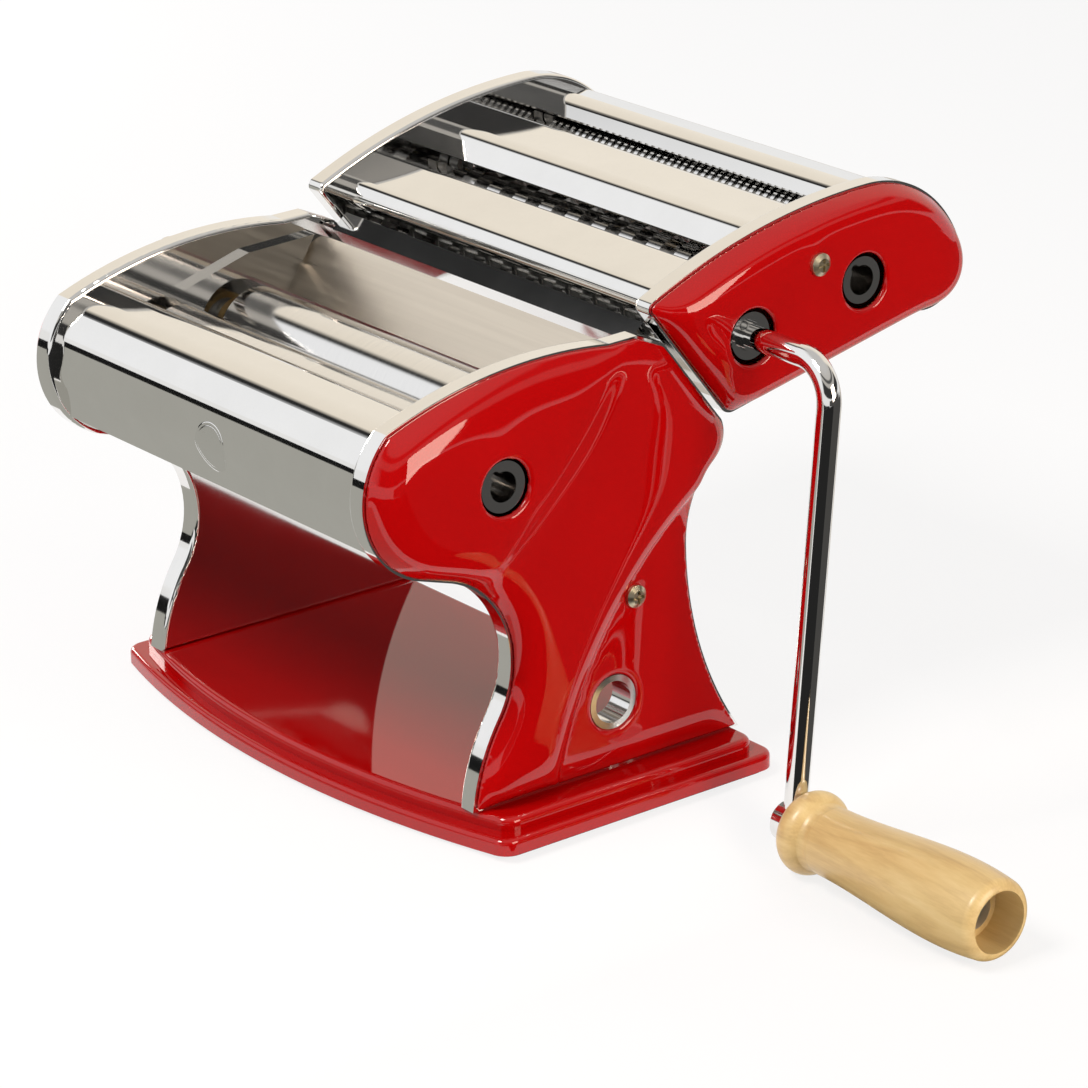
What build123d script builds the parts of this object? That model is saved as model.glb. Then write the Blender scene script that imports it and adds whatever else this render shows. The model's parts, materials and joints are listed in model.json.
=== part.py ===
"""A hand-cranked pasta machine: two smooth rollers, a thickness knob and a lift-off double cutter.

X runs along the rollers towards the crank, Y runs from the front to the cutter, Z is up.
The origin is the centre of the foot pad on the table. Outlines in the side view are (Y, Z) pairs.
"""
import os
from math import acos, atan2, cos, degrees, pi, radians, sin, tan

from build123d import *

os.makedirs("parts", exist_ok=True)

# Driving sizes
plate_inner = 80.0          # half the clear width between the side plates
plate_t = 1.6               # sheet of the side plates
rim_depth = 7.0             # width of the bright rim round a side plate
rim_bend = 1.5              # outer bend between a side plate's web and its rim
gear_space = 5.5            # between a roller's end and the side plate
roller_r = 14.0
sheet_t = 1.2               # sheet of guards, scrapers and hangers

base_ledge = 15.5           # how far the base stands out beyond the side plates
base_half_y = 53.5
foot_front_y = -54.0        # front and rear of the side plates' feet
foot_rear_y = 50.5
base_bow = 15.3             # how far the front edge bows out
base_h = 9.6
base_lip = 5.2              # height of the lower of the two lips
base_step = 4.5
base_wall = 1.5
pad_t = 1.0

rear_axis = (-16.1, 115.1)      # adjustable roller, at its widest gap
gap_open = 2.4                  # widest roller gap
gap_thin = 0.3                  # thinnest roller gap
knob_turn = 90.0                # degrees from widest to thinnest

gear_teeth = 12
gear_pressure = 25.0
gear_thin = 0.3                 # taken off each tooth flank

incline = 13.3                  # the cutter rises to the back
wide_axis = (49.1, 140.8)
narrow_axis = (93.9, 149.2)
rib_r = 10.3
groove_r = 8.3
cutter_play = 0.4               # between a rib's crest and the groove it runs in
wide_pitch = 13.6
narrow_pitch = 3.4

knob_r = 22.0
knob_depth = 26.0

arm_length = 145.0
arm_tilt = 5.4                  # the hanging crank leans to the front
rod_r = 3.75
arm_stand = 35.0                # how far the arm stands off the cutter's cover
grip_length = 86.0

# Fits and clearances
running = 0.05                  # radial play of a running fit
near = 0.3                      # play between pieces that pass each other
seam_gap = 2.0                  # between the body and the cutter
cover_inset = 0.8               # the rim shows round the cover

# Heights and planes that follow
base_top = pad_t + base_h
roller_half = plate_inner - gear_space      # half the working length of a roller
web_outer = plate_inner + plate_t
rim_x = plate_inner + rim_depth
base_half_x = rim_x + base_ledge
panel_x = rim_x + 2.5
column_x = rim_x + 6.5
pod_x = rim_x + 10.0
cutter_cover_x = rim_x + 9.0
arm_x = cutter_cover_x + arm_stand
cover_wall = 2.0
panel_edge_r = 2.2
column_edge_r = 6.0
column_crease_r = 5.5
pod_edge_r = 9.0
pod_crease_r = 8.0
cutter_edge_r = 8.0

# The thickness axle turns in the plates, and its middle stands off by the throw
throw = (gap_open - gap_thin) / (2 * sin(radians(knob_turn / 2)))
main_module = (2 * roller_r + gap_thin) / gear_teeth
rear_spacing = 2 * roller_r + gap_open
front_axis = (rear_axis[0] - rear_spacing, rear_axis[1] + 0.2)
half_turn = radians(90 - knob_turn / 2)
axle_axis = (rear_axis[0] - throw * cos(half_turn), rear_axis[1] - throw * sin(half_turn))

# Cutter rollers in pairs along the incline
cutter_spacing = rib_r + groove_r + cutter_play
along = (cos(radians(incline)), sin(radians(incline)))
raised = (-along[1], along[0])


def step(point, forward, up=0.0):
    """A point moved along the incline of the cutter and square to it."""
    return (
        point[0] + forward * along[0] + up * raised[0],
        point[1] + forward * along[1] + up * raised[1],
    )


wide_follow_axis = step(wide_axis, cutter_spacing)
narrow_follow_axis = step(narrow_axis, cutter_spacing)

# The seam between the body and the cutter, which lifts off along it
seam_point = (32.0, 130.0)
seam_lean = 38.0
seam_up = (-sin(radians(seam_lean)), cos(radians(seam_lean)))
seam_out = (seam_up[1], -seam_up[0])


def seam(up, out):
    """A point given by its height along the seam and its distance behind it."""
    return (
        seam_point[0] + up * seam_up[0] + out * seam_out[0],
        seam_point[1] + up * seam_up[1] + out * seam_out[1],
    )


def polar(center, radius, angle):
    """A point on a circle in the side view."""
    return (center[0] + radius * cos(radians(angle)), center[1] + radius * sin(radians(angle)))


def save(piece, name):
    """Label a finished piece and write it as its own file."""
    piece.part.label = name
    export_step(piece.part, f"parts/{name}.step")


def rod(center, radius, start, end, mode=Mode.ADD):
    """A round bar or bore along X."""
    with Locations(((start + end) / 2, *center)):
        Cylinder(radius, abs(end - start), rotation=(0, 90, 0), mode=mode)


def turned(center, profile):
    """A turned piece about X from a half profile of (x, radius) points."""
    plane = Plane((0, *center), x_dir=(1, 0, 0), z_dir=(0, -1, 0))
    with BuildSketch(plane) as half:
        with BuildLine():
            Polyline(*profile, close=True)
        make_face()
    revolve(half.sketch, axis=Axis((0, *center), (1, 0, 0)))


def sheet(points, radius, start, end, thickness=sheet_t):
    """A bent sheet along X; its section follows the points with rounded bends."""
    with BuildSketch(Plane.YZ.offset(start)) as section:
        with BuildLine():
            if len(points) > 2:
                FilletPolyline(*points, radius=radius)
            else:
                Line(*points)
            offset(amount=thickness, side=Side.LEFT)
        make_face()
    extrude(section.sketch, amount=end - start)


# Outlines in the side view
nose_center = (front_axis[0] - 17.0, front_axis[1] + 1.2)
nose_r = roller_r + 14.0
throat_center = (-70.8, 56.0)
throat_r = 32.0


def main_outline(inset=0.0):
    """The tall side: a round nose over a scooped throat, a flat arch and a waisted back."""
    foot_front = (foot_front_y, base_top)
    foot_rear = (foot_rear_y, base_top)
    with BuildSketch() as outline:
        with BuildLine():
            throat_low = polar(throat_center, throat_r, -33)
            throat_top = polar(throat_center, throat_r, 70)
            nose_low = polar(nose_center, nose_r, 250)
            nose_top = polar(nose_center, nose_r, 132)
            throat = ThreePointArc(throat_top, polar(throat_center, throat_r, 10), throat_low)
            TangentArc(throat_low, foot_front, tangent=throat % 1)
            Line(throat_top, nose_low)
            ThreePointArc(nose_low, polar(nose_center, nose_r, 190), nose_top)
            ThreePointArc(nose_top, (-40.0, 147.9), (0.0, 147.2))
            Line((0.0, 147.2), (10.5, 147.4))
            Line((10.5, 147.4), seam(17.0, -seam_gap / 2))
            Line(seam(17.0, -seam_gap / 2), seam(-20.0, -seam_gap / 2))
            ThreePointArc(seam(-20.0, -seam_gap / 2), (44.4, 108.6), (37.3, 99.5))
            ThreePointArc((37.3, 99.5), (31.4, 89.0), (29.4, 76.0))
            ThreePointArc((29.4, 76.0), (34.6, 43.0), foot_rear)
            Line(foot_rear, foot_front)
        make_face()
        if inset:
            offset(amount=-inset)
    return outline.sketch


def cutter_outline(inset=0.0):
    """The cutter's side: a long arch from a sharp front tip to a round tail."""
    tail = (141.0, 151.4)
    with BuildSketch() as outline:
        with BuildLine():
            Line(seam(-20.5, seam_gap / 2), seam(31.0, seam_gap / 2))
            arch = ThreePointArc(seam(31.0, seam_gap / 2), (57.5, 171.0), (102.0, 176.9))
            tail_top = TangentArc(arch @ 1, tail, tangent=arch % 1)
            tail_low = TangentArc(tail, (124.3, 131.2), tangent=tail_top % 1)
            Line(tail_low @ 1, seam(-20.5, seam_gap / 2))
        make_face()
        low_corner = outline.vertices().sort_by(Axis.Y)[0]
        fillet(low_corner, radius=5)
        front_tip = outline.vertices().sort_by(Axis.X)[0]
        fillet(front_tip, radius=2.5)
        if inset:
            offset(amount=-inset)
    return outline.sketch


def base_outline(inset=0.0):
    """The footprint: straight sides and back, and a front edge that bows out."""
    half_x = base_half_x - inset
    half_y = base_half_y - inset
    with BuildSketch() as outline:
        with BuildLine():
            ThreePointArc((-half_x, -half_y), (0, -half_y - base_bow), (half_x, -half_y))
            Polyline((half_x, -half_y), (half_x, half_y), (-half_x, half_y), (-half_x, -half_y))
        make_face()
        fillet(outline.vertices(), radius=6)
    return outline.sketch


def rounded_slab(inset, height, radius):
    """One lip of the base, rounded at its top edge."""
    with BuildPart() as slab:
        with BuildSketch(Plane.XY.offset(pad_t)):
            add(base_outline(inset))
        extrude(amount=height)
        fillet(slab.faces().sort_by(Axis.Z)[-1].edges(), radius=radius)
    return slab.part


def column_region(inset=0.0):
    """The raised front column of the main cover, ahead of a crease that sweeps down the side."""
    with BuildSketch() as region:
        with BuildLine():
            ThreePointArc((56.0 - inset, 108.0), (-3.0 - inset, 60.0), (-26.0 - inset, 0.0))
            Polyline((-26.0 - inset, 0.0), (-120.0, 0.0), (-120.0, 170.0), (56.0 - inset, 170.0),
                     (56.0 - inset, 108.0))
        make_face()
    return region.sketch


def pod_region(inset=0.0):
    """The roller pod above a rising crease."""
    with BuildSketch() as region:
        with BuildLine():
            ThreePointArc((-57.0, 79.0 + inset), (-24.0, 107.5 + inset), (9.0, 150.0 + inset))
            Polyline((9.0, 150.0 + inset), (-120.0, 170.0), (-120.0, 79.0 + inset), (-57.0, 79.0 + inset))
        make_face()
    return region.sketch


def pillow(outline, height, edge_r):
    """A pressed shell's outer form: a slab on the rim with a large round edge."""
    with BuildPart() as shell:
        with BuildSketch(Plane.YZ.offset(rim_x)):
            add(outline)
        extrude(amount=height - rim_x)
        fillet(shell.faces().sort_by(Axis.X)[-1].edges(), radius=edge_r)
    return shell.part


def raised_level(outline, region, height, edge_r, crease_r):
    """A raised level of the main cover, rounded at the outline and along its crease."""
    with BuildPart() as level:
        with BuildSketch(Plane.YZ.offset(rim_x)):
            add(region)
        extrude(amount=height - rim_x)
        crease = level.faces().sort_by(Axis.X)[-1].edges().filter_by(GeomType.CIRCLE)
        fillet(crease, radius=crease_r)
        add(pillow(outline, height, edge_r), mode=Mode.INTERSECT)
    return level.part


def main_cover():
    """The three-level main cover for the crank side, hollow behind."""
    outline = main_outline(cover_inset)
    inner = main_outline(cover_inset + cover_wall)
    levels = [
        (column_region, column_x, column_edge_r, column_crease_r),
        (pod_region, pod_x, pod_edge_r, pod_crease_r),
    ]
    with BuildPart() as cover:
        add(pillow(outline, panel_x, panel_edge_r))
        for region, height, edge_r, crease_r in levels:
            add(raised_level(outline, region(), height, edge_r, crease_r))
        for region, height, edge_r, crease_r in levels:
            add(raised_level(inner, region(cover_wall), height - cover_wall, edge_r - cover_wall,
                             crease_r - cover_wall), mode=Mode.SUBTRACT)
    return cover.part


def cutter_cover():
    """The rounded cutter cover for the crank side, hollow behind."""
    inner = cutter_outline(cover_inset + cover_wall)
    with BuildPart() as cover:
        add(pillow(cutter_outline(cover_inset), cutter_cover_x, cutter_edge_r))
        add(pillow(inner, cutter_cover_x - cover_wall, cutter_edge_r - cover_wall), mode=Mode.SUBTRACT)
    return cover.part


def round_mouth(cover, radius):
    """Round the outer edge of each round mouth of that radius in a cover."""
    circles = cover.edges().filter_by(GeomType.CIRCLE)
    rims = circles.filter_by(lambda edge: abs(edge.radius - radius) < running)
    fillet(rims.group_by(Axis.X)[-1], radius=mouth_edge_r)


def side_tray(outline, holes):
    """A pressed side plate for the crank side: a flat web with a deep rim, pierced at (point, radius)."""
    with BuildPart() as tray:
        with BuildSketch(Plane.YZ.offset(plate_inner)):
            add(outline(0.0))
        extrude(amount=rim_depth)
        fillet(tray.faces().sort_by(Axis.X)[0].edges(), radius=rim_bend)
        with BuildSketch(Plane.YZ.offset(web_outer)):
            add(outline(plate_t))
        extrude(amount=rim_depth, mode=Mode.SUBTRACT)
        for point, radius in holes:
            rod(point, radius, plate_inner - 1, web_outer + 1, Mode.SUBTRACT)
    return tray.part


def crank_socket(center, end):
    """The keyed hole in a driven end that takes the crank."""
    rod(center, socket_r, end - socket_depth, end, Mode.SUBTRACT)
    rod(polar(center, socket_r, key_angle), key_r, end - key_depth, end, Mode.SUBTRACT)


def flanged_bush(center, bore, outer, side):
    """A plain bush let into a side plate, its flange on the outer face of the web."""
    flange = 1.5
    with BuildPart() as bush:
        rod(center, outer, side * plate_inner, side * (web_outer + flange))
        rod(center, outer + 1.0, side * web_outer, side * (web_outer + flange))
        rod(center, bore, side * (plate_inner - 1), side * (web_outer + flange + 1), Mode.SUBTRACT)
    return bush.part


def cover_screw(center, side, seat_x):
    """A dome-headed cross-slot screw through a cover into the side plate."""
    head_r = 3.6
    head_h = 2.2
    slot = 1.0
    with BuildPart() as screw:
        turned(center, [(plate_inner + 0.2, 0), (plate_inner + 0.2, screw_r - running),
                        (seat_x, screw_r - running), (seat_x, head_r), (seat_x + head_h * 0.5, head_r),
                        (seat_x + head_h, head_r * 0.6), (seat_x + head_h, 0)])
        with Locations((seat_x + head_h, *center)):
            Box(2 * slot, slot, 1.2 * head_r, mode=Mode.SUBTRACT)
            Box(2 * slot, 1.2 * head_r, slot, mode=Mode.SUBTRACT)
        if side < 0:
            mirror(about=Plane.YZ, mode=Mode.REPLACE)
    return screw.part


def gear_section(module, bore):
    """An involute gear face with thinned teeth, one tooth on the local x axis."""
    pitch_r = module * gear_teeth / 2
    base_r = pitch_r * cos(radians(gear_pressure))
    root_r = pitch_r - 1.25 * module
    tip_r = pitch_r + module

    def involute(pressure):
        return tan(pressure) - pressure

    def half_angle(radius):
        """Half the tooth's angle at a radius, in degrees."""
        at_pitch = pi / (2 * gear_teeth) - gear_thin / pitch_r + involute(radians(gear_pressure))
        return degrees(at_pitch - involute(acos(min(1.0, base_r / radius))))

    radii = [base_r + (tip_r - base_r) * share / 4 for share in range(5)]
    with BuildSketch() as tooth:
        with BuildLine():
            upper = Spline(*[polar((0, 0), r, half_angle(r)) for r in radii])
            lower = Spline(*[polar((0, 0), r, -half_angle(r)) for r in radii])
            ThreePointArc(upper @ 1, (tip_r, 0), lower @ 1)
            Polyline(upper @ 0, polar((0, 0), root_r - 0.5, half_angle(base_r)),
                     polar((0, 0), root_r - 0.5, -half_angle(base_r)), lower @ 0)
        make_face()
    with BuildSketch() as gear:
        Circle(root_r)
        with PolarLocations(0, gear_teeth):
            add(tooth.sketch)
        Circle(bore, mode=Mode.SUBTRACT)
    return gear.sketch


def gear_on(center, module, bore, start, end, turn):
    """A gear of that section round a roller's axis, turned by an angle in the side view."""
    with BuildPart() as gear:
        with BuildSketch(Plane.YZ.offset(start)):
            with Locations(Location((*center, 0), (0, 0, turn))):
                add(gear_section(module, bore))
        extrude(amount=end - start)
    return gear


def facing(center, other):
    """The angle of the line of centres in the side view, in degrees."""
    return degrees(atan2(other[1] - center[1], other[0] - center[0]))


# Sizes of shafts, bores and fixings
screw_r = 2.0
tie_r = 3.5
tie_end_r = 2.5
front_neck_r = 8.0
socket_r = 4.75
socket_depth = 24.0
key_r = 1.5
mouth_r = 8.75
mouth_edge_r = 1.5
axle_r = 7.5
carrier_wall = 2.2
neck_wall = 1.4
eccentric_r = axle_r - throw - near
bush_r = eccentric_r + running + carrier_wall
rear_neck_r = bush_r + running + neck_wall
cutter_stub_r = 7.5
cutter_neck_r = 5.0
bush_wall = 2.0
gear_start = roller_half + 0.5
gear_end = plate_inner - 0.5
gear_tip_r = main_module * (gear_teeth / 2 + 1)
key_angle = 125.0
key_depth = 8.0
clamp_r = 6.75
clamp_point = (-1.0, 33.0)
main_screw_point = (7.0, 66.0)
cutter_screw_point = (74.8, 158.7)
main_ties = [(-73.0, 101.0), (33.5, 107.0)]
cutter_ties = [step(wide_axis, -3.0, -20.0), step(narrow_follow_axis, 16.0, -7.0)]
foot_points = [-30.0, 30.0]
foot_x = (web_outer + rim_x) / 2
base_flange = 8.0
base_head_r = 2.5
base_head_h = 1.8
dial_r = 20.0
pin_r = 1.2
pin_ring_r = 13.5
pin_start = -100.0
pin_spare = 1.5
screw_head_r = 3.6
bracket_low = -17.0
bracket_top = 17.5
bracket_back = 1.6
hanger_half = plate_inner - 4.0
lip_back = bracket_back + 2 * sheet_t
lip_drop = 6.0
pivot_pairs = [(wide_axis, wide_follow_axis), (narrow_axis, narrow_follow_axis)]

# Base: a pressed two-lip tray with an in-turned flange underneath
with BuildPart() as base:
    add(rounded_slab(0.0, base_lip, 1.8))
    add(rounded_slab(base_step, base_h, 2.2))
    with BuildSketch(Plane.XY.offset(pad_t + base_wall)):
        add(base_outline(base_step + base_wall))
    extrude(amount=base_h - 2 * base_wall, mode=Mode.SUBTRACT)
    with BuildSketch(Plane.XY.offset(pad_t)):
        add(base_outline(base_step + base_flange))
    extrude(amount=base_wall, mode=Mode.SUBTRACT)
    with Locations(*[(side * foot_x, y, base_top) for side in (-1, 1) for y in foot_points]):
        Cylinder(screw_r, 4 * base_wall, mode=Mode.SUBTRACT)
save(base, "base")

# Foot pad: a rubber mat glued under the flange
with BuildPart() as base_pad:
    with BuildSketch():
        add(base_outline(1.5))
    extrude(amount=pad_t)
save(base_pad, "base_pad")

# Side plates with their bearings, tie rods and clamp hole
main_holes = [
    (front_axis, front_neck_r + running + bush_wall),
    (axle_axis, axle_r + running + bush_wall),
    (main_screw_point, screw_r),
    *[(point, tie_end_r) for point in main_ties],
]
foot_holes = [(foot_x, y, base_top) for y in foot_points]
with BuildPart() as right_plate:
    add(side_tray(main_outline, main_holes + [(clamp_point, clamp_r + bush_wall)]))
    with Locations(*foot_holes):
        Cylinder(screw_r, 4 * plate_t, mode=Mode.SUBTRACT)
save(right_plate, "right_plate")

with BuildPart() as left_plate:
    add(side_tray(main_outline, main_holes))
    with Locations(*foot_holes):
        Cylinder(screw_r, 4 * plate_t, mode=Mode.SUBTRACT)
    mirror(about=Plane.YZ, mode=Mode.REPLACE)
save(left_plate, "left_plate")

# Screws from under the base into the rims of the side plates
with BuildPart() as base_screws:
    with Locations(*[(side * foot_x, y, base_top - base_wall) for side in (-1, 1) for y in foot_points]):
        Cylinder(base_head_r, base_head_h, align=(Align.CENTER, Align.CENTER, Align.MAX))
        Cylinder(screw_r - running, base_wall + 2 * plate_t, align=(Align.CENTER, Align.CENTER, Align.MIN))
save(base_screws, "base_screws")

# Bearings in the side plates
with BuildPart() as roller_bushes:
    for side in (-1, 1):
        add(flanged_bush(front_axis, front_neck_r + running, front_neck_r + running + bush_wall, side))
save(roller_bushes, "roller_bushes")

with BuildPart() as axle_bushes:
    for side in (-1, 1):
        add(flanged_bush(axle_axis, axle_r + running, axle_r + running + bush_wall, side))
save(axle_bushes, "axle_bushes")

# Clamp bush: the bright lined hole low on the crank side that takes the table clamp
with BuildPart() as clamp_bush:
    rod(clamp_point, clamp_r + bush_wall, plate_inner, panel_x - 0.8)
    rod(clamp_point, clamp_r + bush_wall + 1.5, web_outer, web_outer + 1.5)
    rod(clamp_point, clamp_r, plate_inner - 1, panel_x, Mode.SUBTRACT)
save(clamp_bush, "clamp_bush")

# Tie rods with riveted ends
with BuildPart() as tie_rods:
    for point in main_ties:
        rod(point, tie_r, -plate_inner, plate_inner)
        rod(point, tie_end_r, -web_outer - 0.8, web_outer + 0.8)
save(tie_rods, "tie_rods")

# Main covers
with BuildPart() as right_cover:
    add(main_cover())
    rod(front_axis, mouth_r, rim_x - 1, pod_x + 1, Mode.SUBTRACT)
    round_mouth(right_cover, mouth_r)
    rod(clamp_point, clamp_r + bush_wall + running, rim_x - 1, pod_x + 1, Mode.SUBTRACT)
    round_mouth(right_cover, clamp_r + bush_wall + running)
    rod(main_screw_point, screw_r, rim_x - 1, pod_x + 1, Mode.SUBTRACT)
save(right_cover, "right_cover")

with BuildPart() as left_cover:
    add(main_cover())
    rod(axle_axis, dial_r, panel_x, pod_x)
    rod(axle_axis, axle_r + near, rim_x - 1, pod_x + 1, Mode.SUBTRACT)
    rod(axle_axis, dial_r - cover_wall, rim_x - 1, pod_x - cover_wall, Mode.SUBTRACT)
    rod(main_screw_point, screw_r, rim_x - 1, pod_x + 1, Mode.SUBTRACT)
    mirror(about=Plane.YZ, mode=Mode.REPLACE)
save(left_cover, "left_cover")

with BuildPart() as main_cover_screws:
    for side in (-1, 1):
        add(cover_screw(main_screw_point, side, panel_x))
save(main_cover_screws, "main_cover_screws")

# Front guard, feed plate and side guides over the rollers
guard_front = (nose_center[0] - nose_r + 3.2, nose_center[1])
guard_points = [
    (guard_front[0] + 4.0, guard_front[1] - 17.5),
    (guard_front[0] - 0.8, guard_front[1] - 3.0),
    (guard_front[0] + 1.5, guard_front[1] + 11.5),
    (guard_front[0] + 10.5, guard_front[1] + 19.5),
    (front_axis[0] - 15.0, front_axis[1] + roller_r + 7.0),
    (front_axis[0] - 10.0, front_axis[1] + roller_r + 2.0),
]
with BuildPart() as front_guard:
    sheet(guard_points[::-1], 12.0, -plate_inner, plate_inner)
save(front_guard, "front_guard")

feed_low = (rear_axis[0] + roller_r + 2.9, rear_axis[1] + 7.5)
feed_top = (feed_low[0] + 10.5, feed_low[1] + 18.5)
with BuildPart() as feed_plate:
    sheet([feed_top, feed_low], 0, -plate_inner, plate_inner)
    corners = feed_plate.edges().filter_by(lambda edge: edge.length < 2 * sheet_t)
    fillet(corners.sort_by(Axis.Z)[-2:], radius=8)
save(feed_plate, "feed_plate")

guide_t = 3.0
guide_low = front_axis[1] + gear_tip_r + 3 * near
with BuildPart() as feed_guides:
    with BuildSketch(Plane.YZ.offset(plate_inner - guide_t)):
        with BuildLine():
            Polyline(
                (front_axis[0] + 5.0, guide_low),
                ((feed_low[0] + feed_top[0]) / 2 - 1.5, guide_low),
                (feed_top[0] - 1.5, feed_top[1]),
                (rear_axis[0], feed_top[1] - 1.0),
                close=True,
            )
        make_face()
    extrude(amount=guide_t)
    mirror(about=Plane.YZ)
save(feed_guides, "feed_guides")

# Scrapers under the rollers, cut down to a low ear beside the gears
ear_r = gear_tip_r + 6.0
ear_start = roller_half - 1.5
with BuildPart() as front_scraper:
    tip = polar(front_axis, roller_r + near, 235)
    sheet([(tip[0] - 4.0, tip[1] - 12.0), tip], 0, -plate_inner, plate_inner)
    rod(front_axis, ear_r, ear_start, plate_inner + 1, Mode.SUBTRACT)
    rod(front_axis, roller_r + near, -plate_inner - 1, roller_half, Mode.SUBTRACT)
save(front_scraper, "front_scraper")

with BuildPart() as rear_scraper:
    tip = polar(rear_axis, roller_r + 2 * near, -55)
    sheet([tip, (tip[0] + 4.0, tip[1] - 12.0)], 0, -plate_inner, plate_inner)
    rod(rear_axis, ear_r, ear_start, plate_inner + 1, Mode.SUBTRACT)
    rod(rear_axis, roller_r + 2 * near, -plate_inner - 1, roller_half, Mode.SUBTRACT)
save(rear_scraper, "rear_scraper")

# Rear bracket: the upright sheet that the cutter hangs on
with BuildPart() as rear_bracket:
    sheet([seam(bracket_low, -bracket_back), seam(bracket_top, -bracket_back)], 0, -plate_inner, plate_inner)
save(rear_bracket, "rear_bracket")

# Driven roller with its crank socket
socket_end = pod_x - 2.0
with BuildPart() as front_roller:
    turned(front_axis, [
        (-web_outer - 3.0, 0), (-web_outer - 3.0, front_neck_r), (-roller_half, front_neck_r),
        (-roller_half, roller_r), (roller_half, roller_r), (roller_half, front_neck_r),
        (socket_end, front_neck_r), (socket_end, 0),
    ])
    crank_socket(front_axis, socket_end)
save(front_roller, "front_roller")

centres = facing(front_axis, rear_axis)
front_roller_gear = gear_on(front_axis, main_module, front_neck_r, gear_start, gear_end, centres)
save(front_roller_gear, "front_roller_gear")

# Adjustable roller: a tube on two bushes that ride the eccentric of the thickness axle
with BuildPart() as rear_roller:
    rod(rear_axis, roller_r, -roller_half, roller_half)
    rod(rear_axis, rear_neck_r, roller_half, gear_end)
    rod(rear_axis, bush_r + running, -roller_half - 1, gear_end + 1, Mode.SUBTRACT)
save(rear_roller, "rear_roller")

half_pitch = 180 / gear_teeth
rear_roller_gear = gear_on(rear_axis, main_module, rear_neck_r, gear_start, gear_end, centres + half_pitch)
save(rear_roller_gear, "rear_roller_gear")

with BuildPart() as rear_roller_bushes:
    for side in (-1, 1):
        rod(rear_axis, bush_r, side * (roller_half - 18.0), side * roller_half)
        rod(rear_axis, eccentric_r + running, side * (roller_half - 19.0), side * (roller_half + 1),
            Mode.SUBTRACT)
save(rear_roller_bushes, "rear_roller_bushes")

# Thickness axle, knob, screw and stop pin
dial_t = 1.2
knob_back = pod_x + dial_t + near
knob_front = knob_back + knob_depth
knob_bore = 5.0
with BuildPart() as eccentric_axle:
    rod(rear_axis, eccentric_r, -plate_inner + near, plate_inner - near)
    rod(axle_axis, axle_r, plate_inner - near, web_outer + 3.0)
    rod(axle_axis, axle_r, -knob_back, -plate_inner + near)
    rod(axle_axis, knob_bore, -knob_front + 4.0, -knob_back)
    rod(axle_axis, screw_r, -knob_front, -knob_front + 14.0, Mode.SUBTRACT)
save(eccentric_axle, "eccentric_axle")

pin_path = CenterArc(axle_axis, pin_ring_r, pin_start - pin_spare, knob_turn + 2 * pin_spare)
with BuildPart() as index_ring:
    rod(axle_axis, dial_r - 0.5, -pod_x - dial_t, -pod_x)
    rod(axle_axis, axle_r + near, -pod_x - dial_t - 1, -pod_x + 1, Mode.SUBTRACT)
    with BuildSketch(Plane.YZ.offset(-pod_x - dial_t)):
        SlotArc(pin_path, 2 * (pin_r + near))
    extrude(amount=dial_t, mode=Mode.SUBTRACT)
save(index_ring, "index_ring")

with BuildPart() as thickness_knob:
    turned(axle_axis, [
        (-knob_back, 0), (-knob_back, knob_r - 1.0), (-knob_back - 1.0, knob_r), (-knob_front + 4.0, knob_r),
        (-knob_front + 1.0, knob_r - 3.0), (-knob_front, knob_r - 6.0), (-knob_front, 9.0),
        (-knob_front + 2.0, 7.0), (-knob_front + 2.0, 0),
    ])
    rod(axle_axis, knob_bore, -knob_front + 4.0, -knob_back, Mode.SUBTRACT)
    rod(axle_axis, screw_r + running, -knob_front, -knob_back, Mode.SUBTRACT)
    rod(polar(axle_axis, pin_ring_r, pin_start), pin_r, -knob_back - 6.0, -knob_back, Mode.SUBTRACT)
    with Locations(Location((0, *axle_axis), (0, 90, 0))):
        with PolarLocations(knob_r + 0.6, 30):
            with Locations((0, 0, -(knob_back + knob_front) / 2)):
                Cylinder(1.3, knob_front - knob_back + 4.0, mode=Mode.SUBTRACT)
save(thickness_knob, "thickness_knob")

with BuildPart() as knob_screw:
    turned(axle_axis, [
        (-knob_front + 2.0, 0), (-knob_front + 2.0, screw_head_r), (-knob_front + 1.0, screw_head_r),
        (-knob_front - 0.3, screw_head_r * 0.6), (-knob_front - 0.3, 0),
    ])
    rod(axle_axis, screw_r - running, -knob_front + 2.0, -knob_front + 13.0)
    with Locations((-knob_front - 0.3, *axle_axis)):
        Box(2.0, 1.0, screw_head_r * 1.2, mode=Mode.SUBTRACT)
        Box(2.0, screw_head_r * 1.2, 1.0, mode=Mode.SUBTRACT)
save(knob_screw, "knob_screw")

with BuildPart() as stop_pin:
    rod(polar(axle_axis, pin_ring_r, pin_start), pin_r, -knob_back - 6.0, -pod_x - near)
save(stop_pin, "stop_pin")

# Cutter side plates and covers
cutter_holes = [(cutter_screw_point, screw_r), *[(point, tie_end_r) for point in cutter_ties]]
stub_hole = cutter_stub_r + running + bush_wall
neck_hole = cutter_neck_r + running + bush_wall
right_pivots = [hole for drive, follow in pivot_pairs for hole in ((drive, stub_hole), (follow, neck_hole))]
left_pivots = [(point, neck_hole) for pair in pivot_pairs for point in pair]
with BuildPart() as cutter_right_plate:
    add(side_tray(cutter_outline, cutter_holes + right_pivots))
save(cutter_right_plate, "cutter_right_plate")

with BuildPart() as cutter_left_plate:
    add(side_tray(cutter_outline, cutter_holes + left_pivots))
    mirror(about=Plane.YZ, mode=Mode.REPLACE)
save(cutter_left_plate, "cutter_left_plate")

with BuildPart() as cutter_bushes:
    for point, hole in right_pivots:
        add(flanged_bush(point, hole - bush_wall, hole, 1))
    for point, hole in left_pivots:
        add(flanged_bush(point, hole - bush_wall, hole, -1))
save(cutter_bushes, "cutter_bushes")

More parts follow.
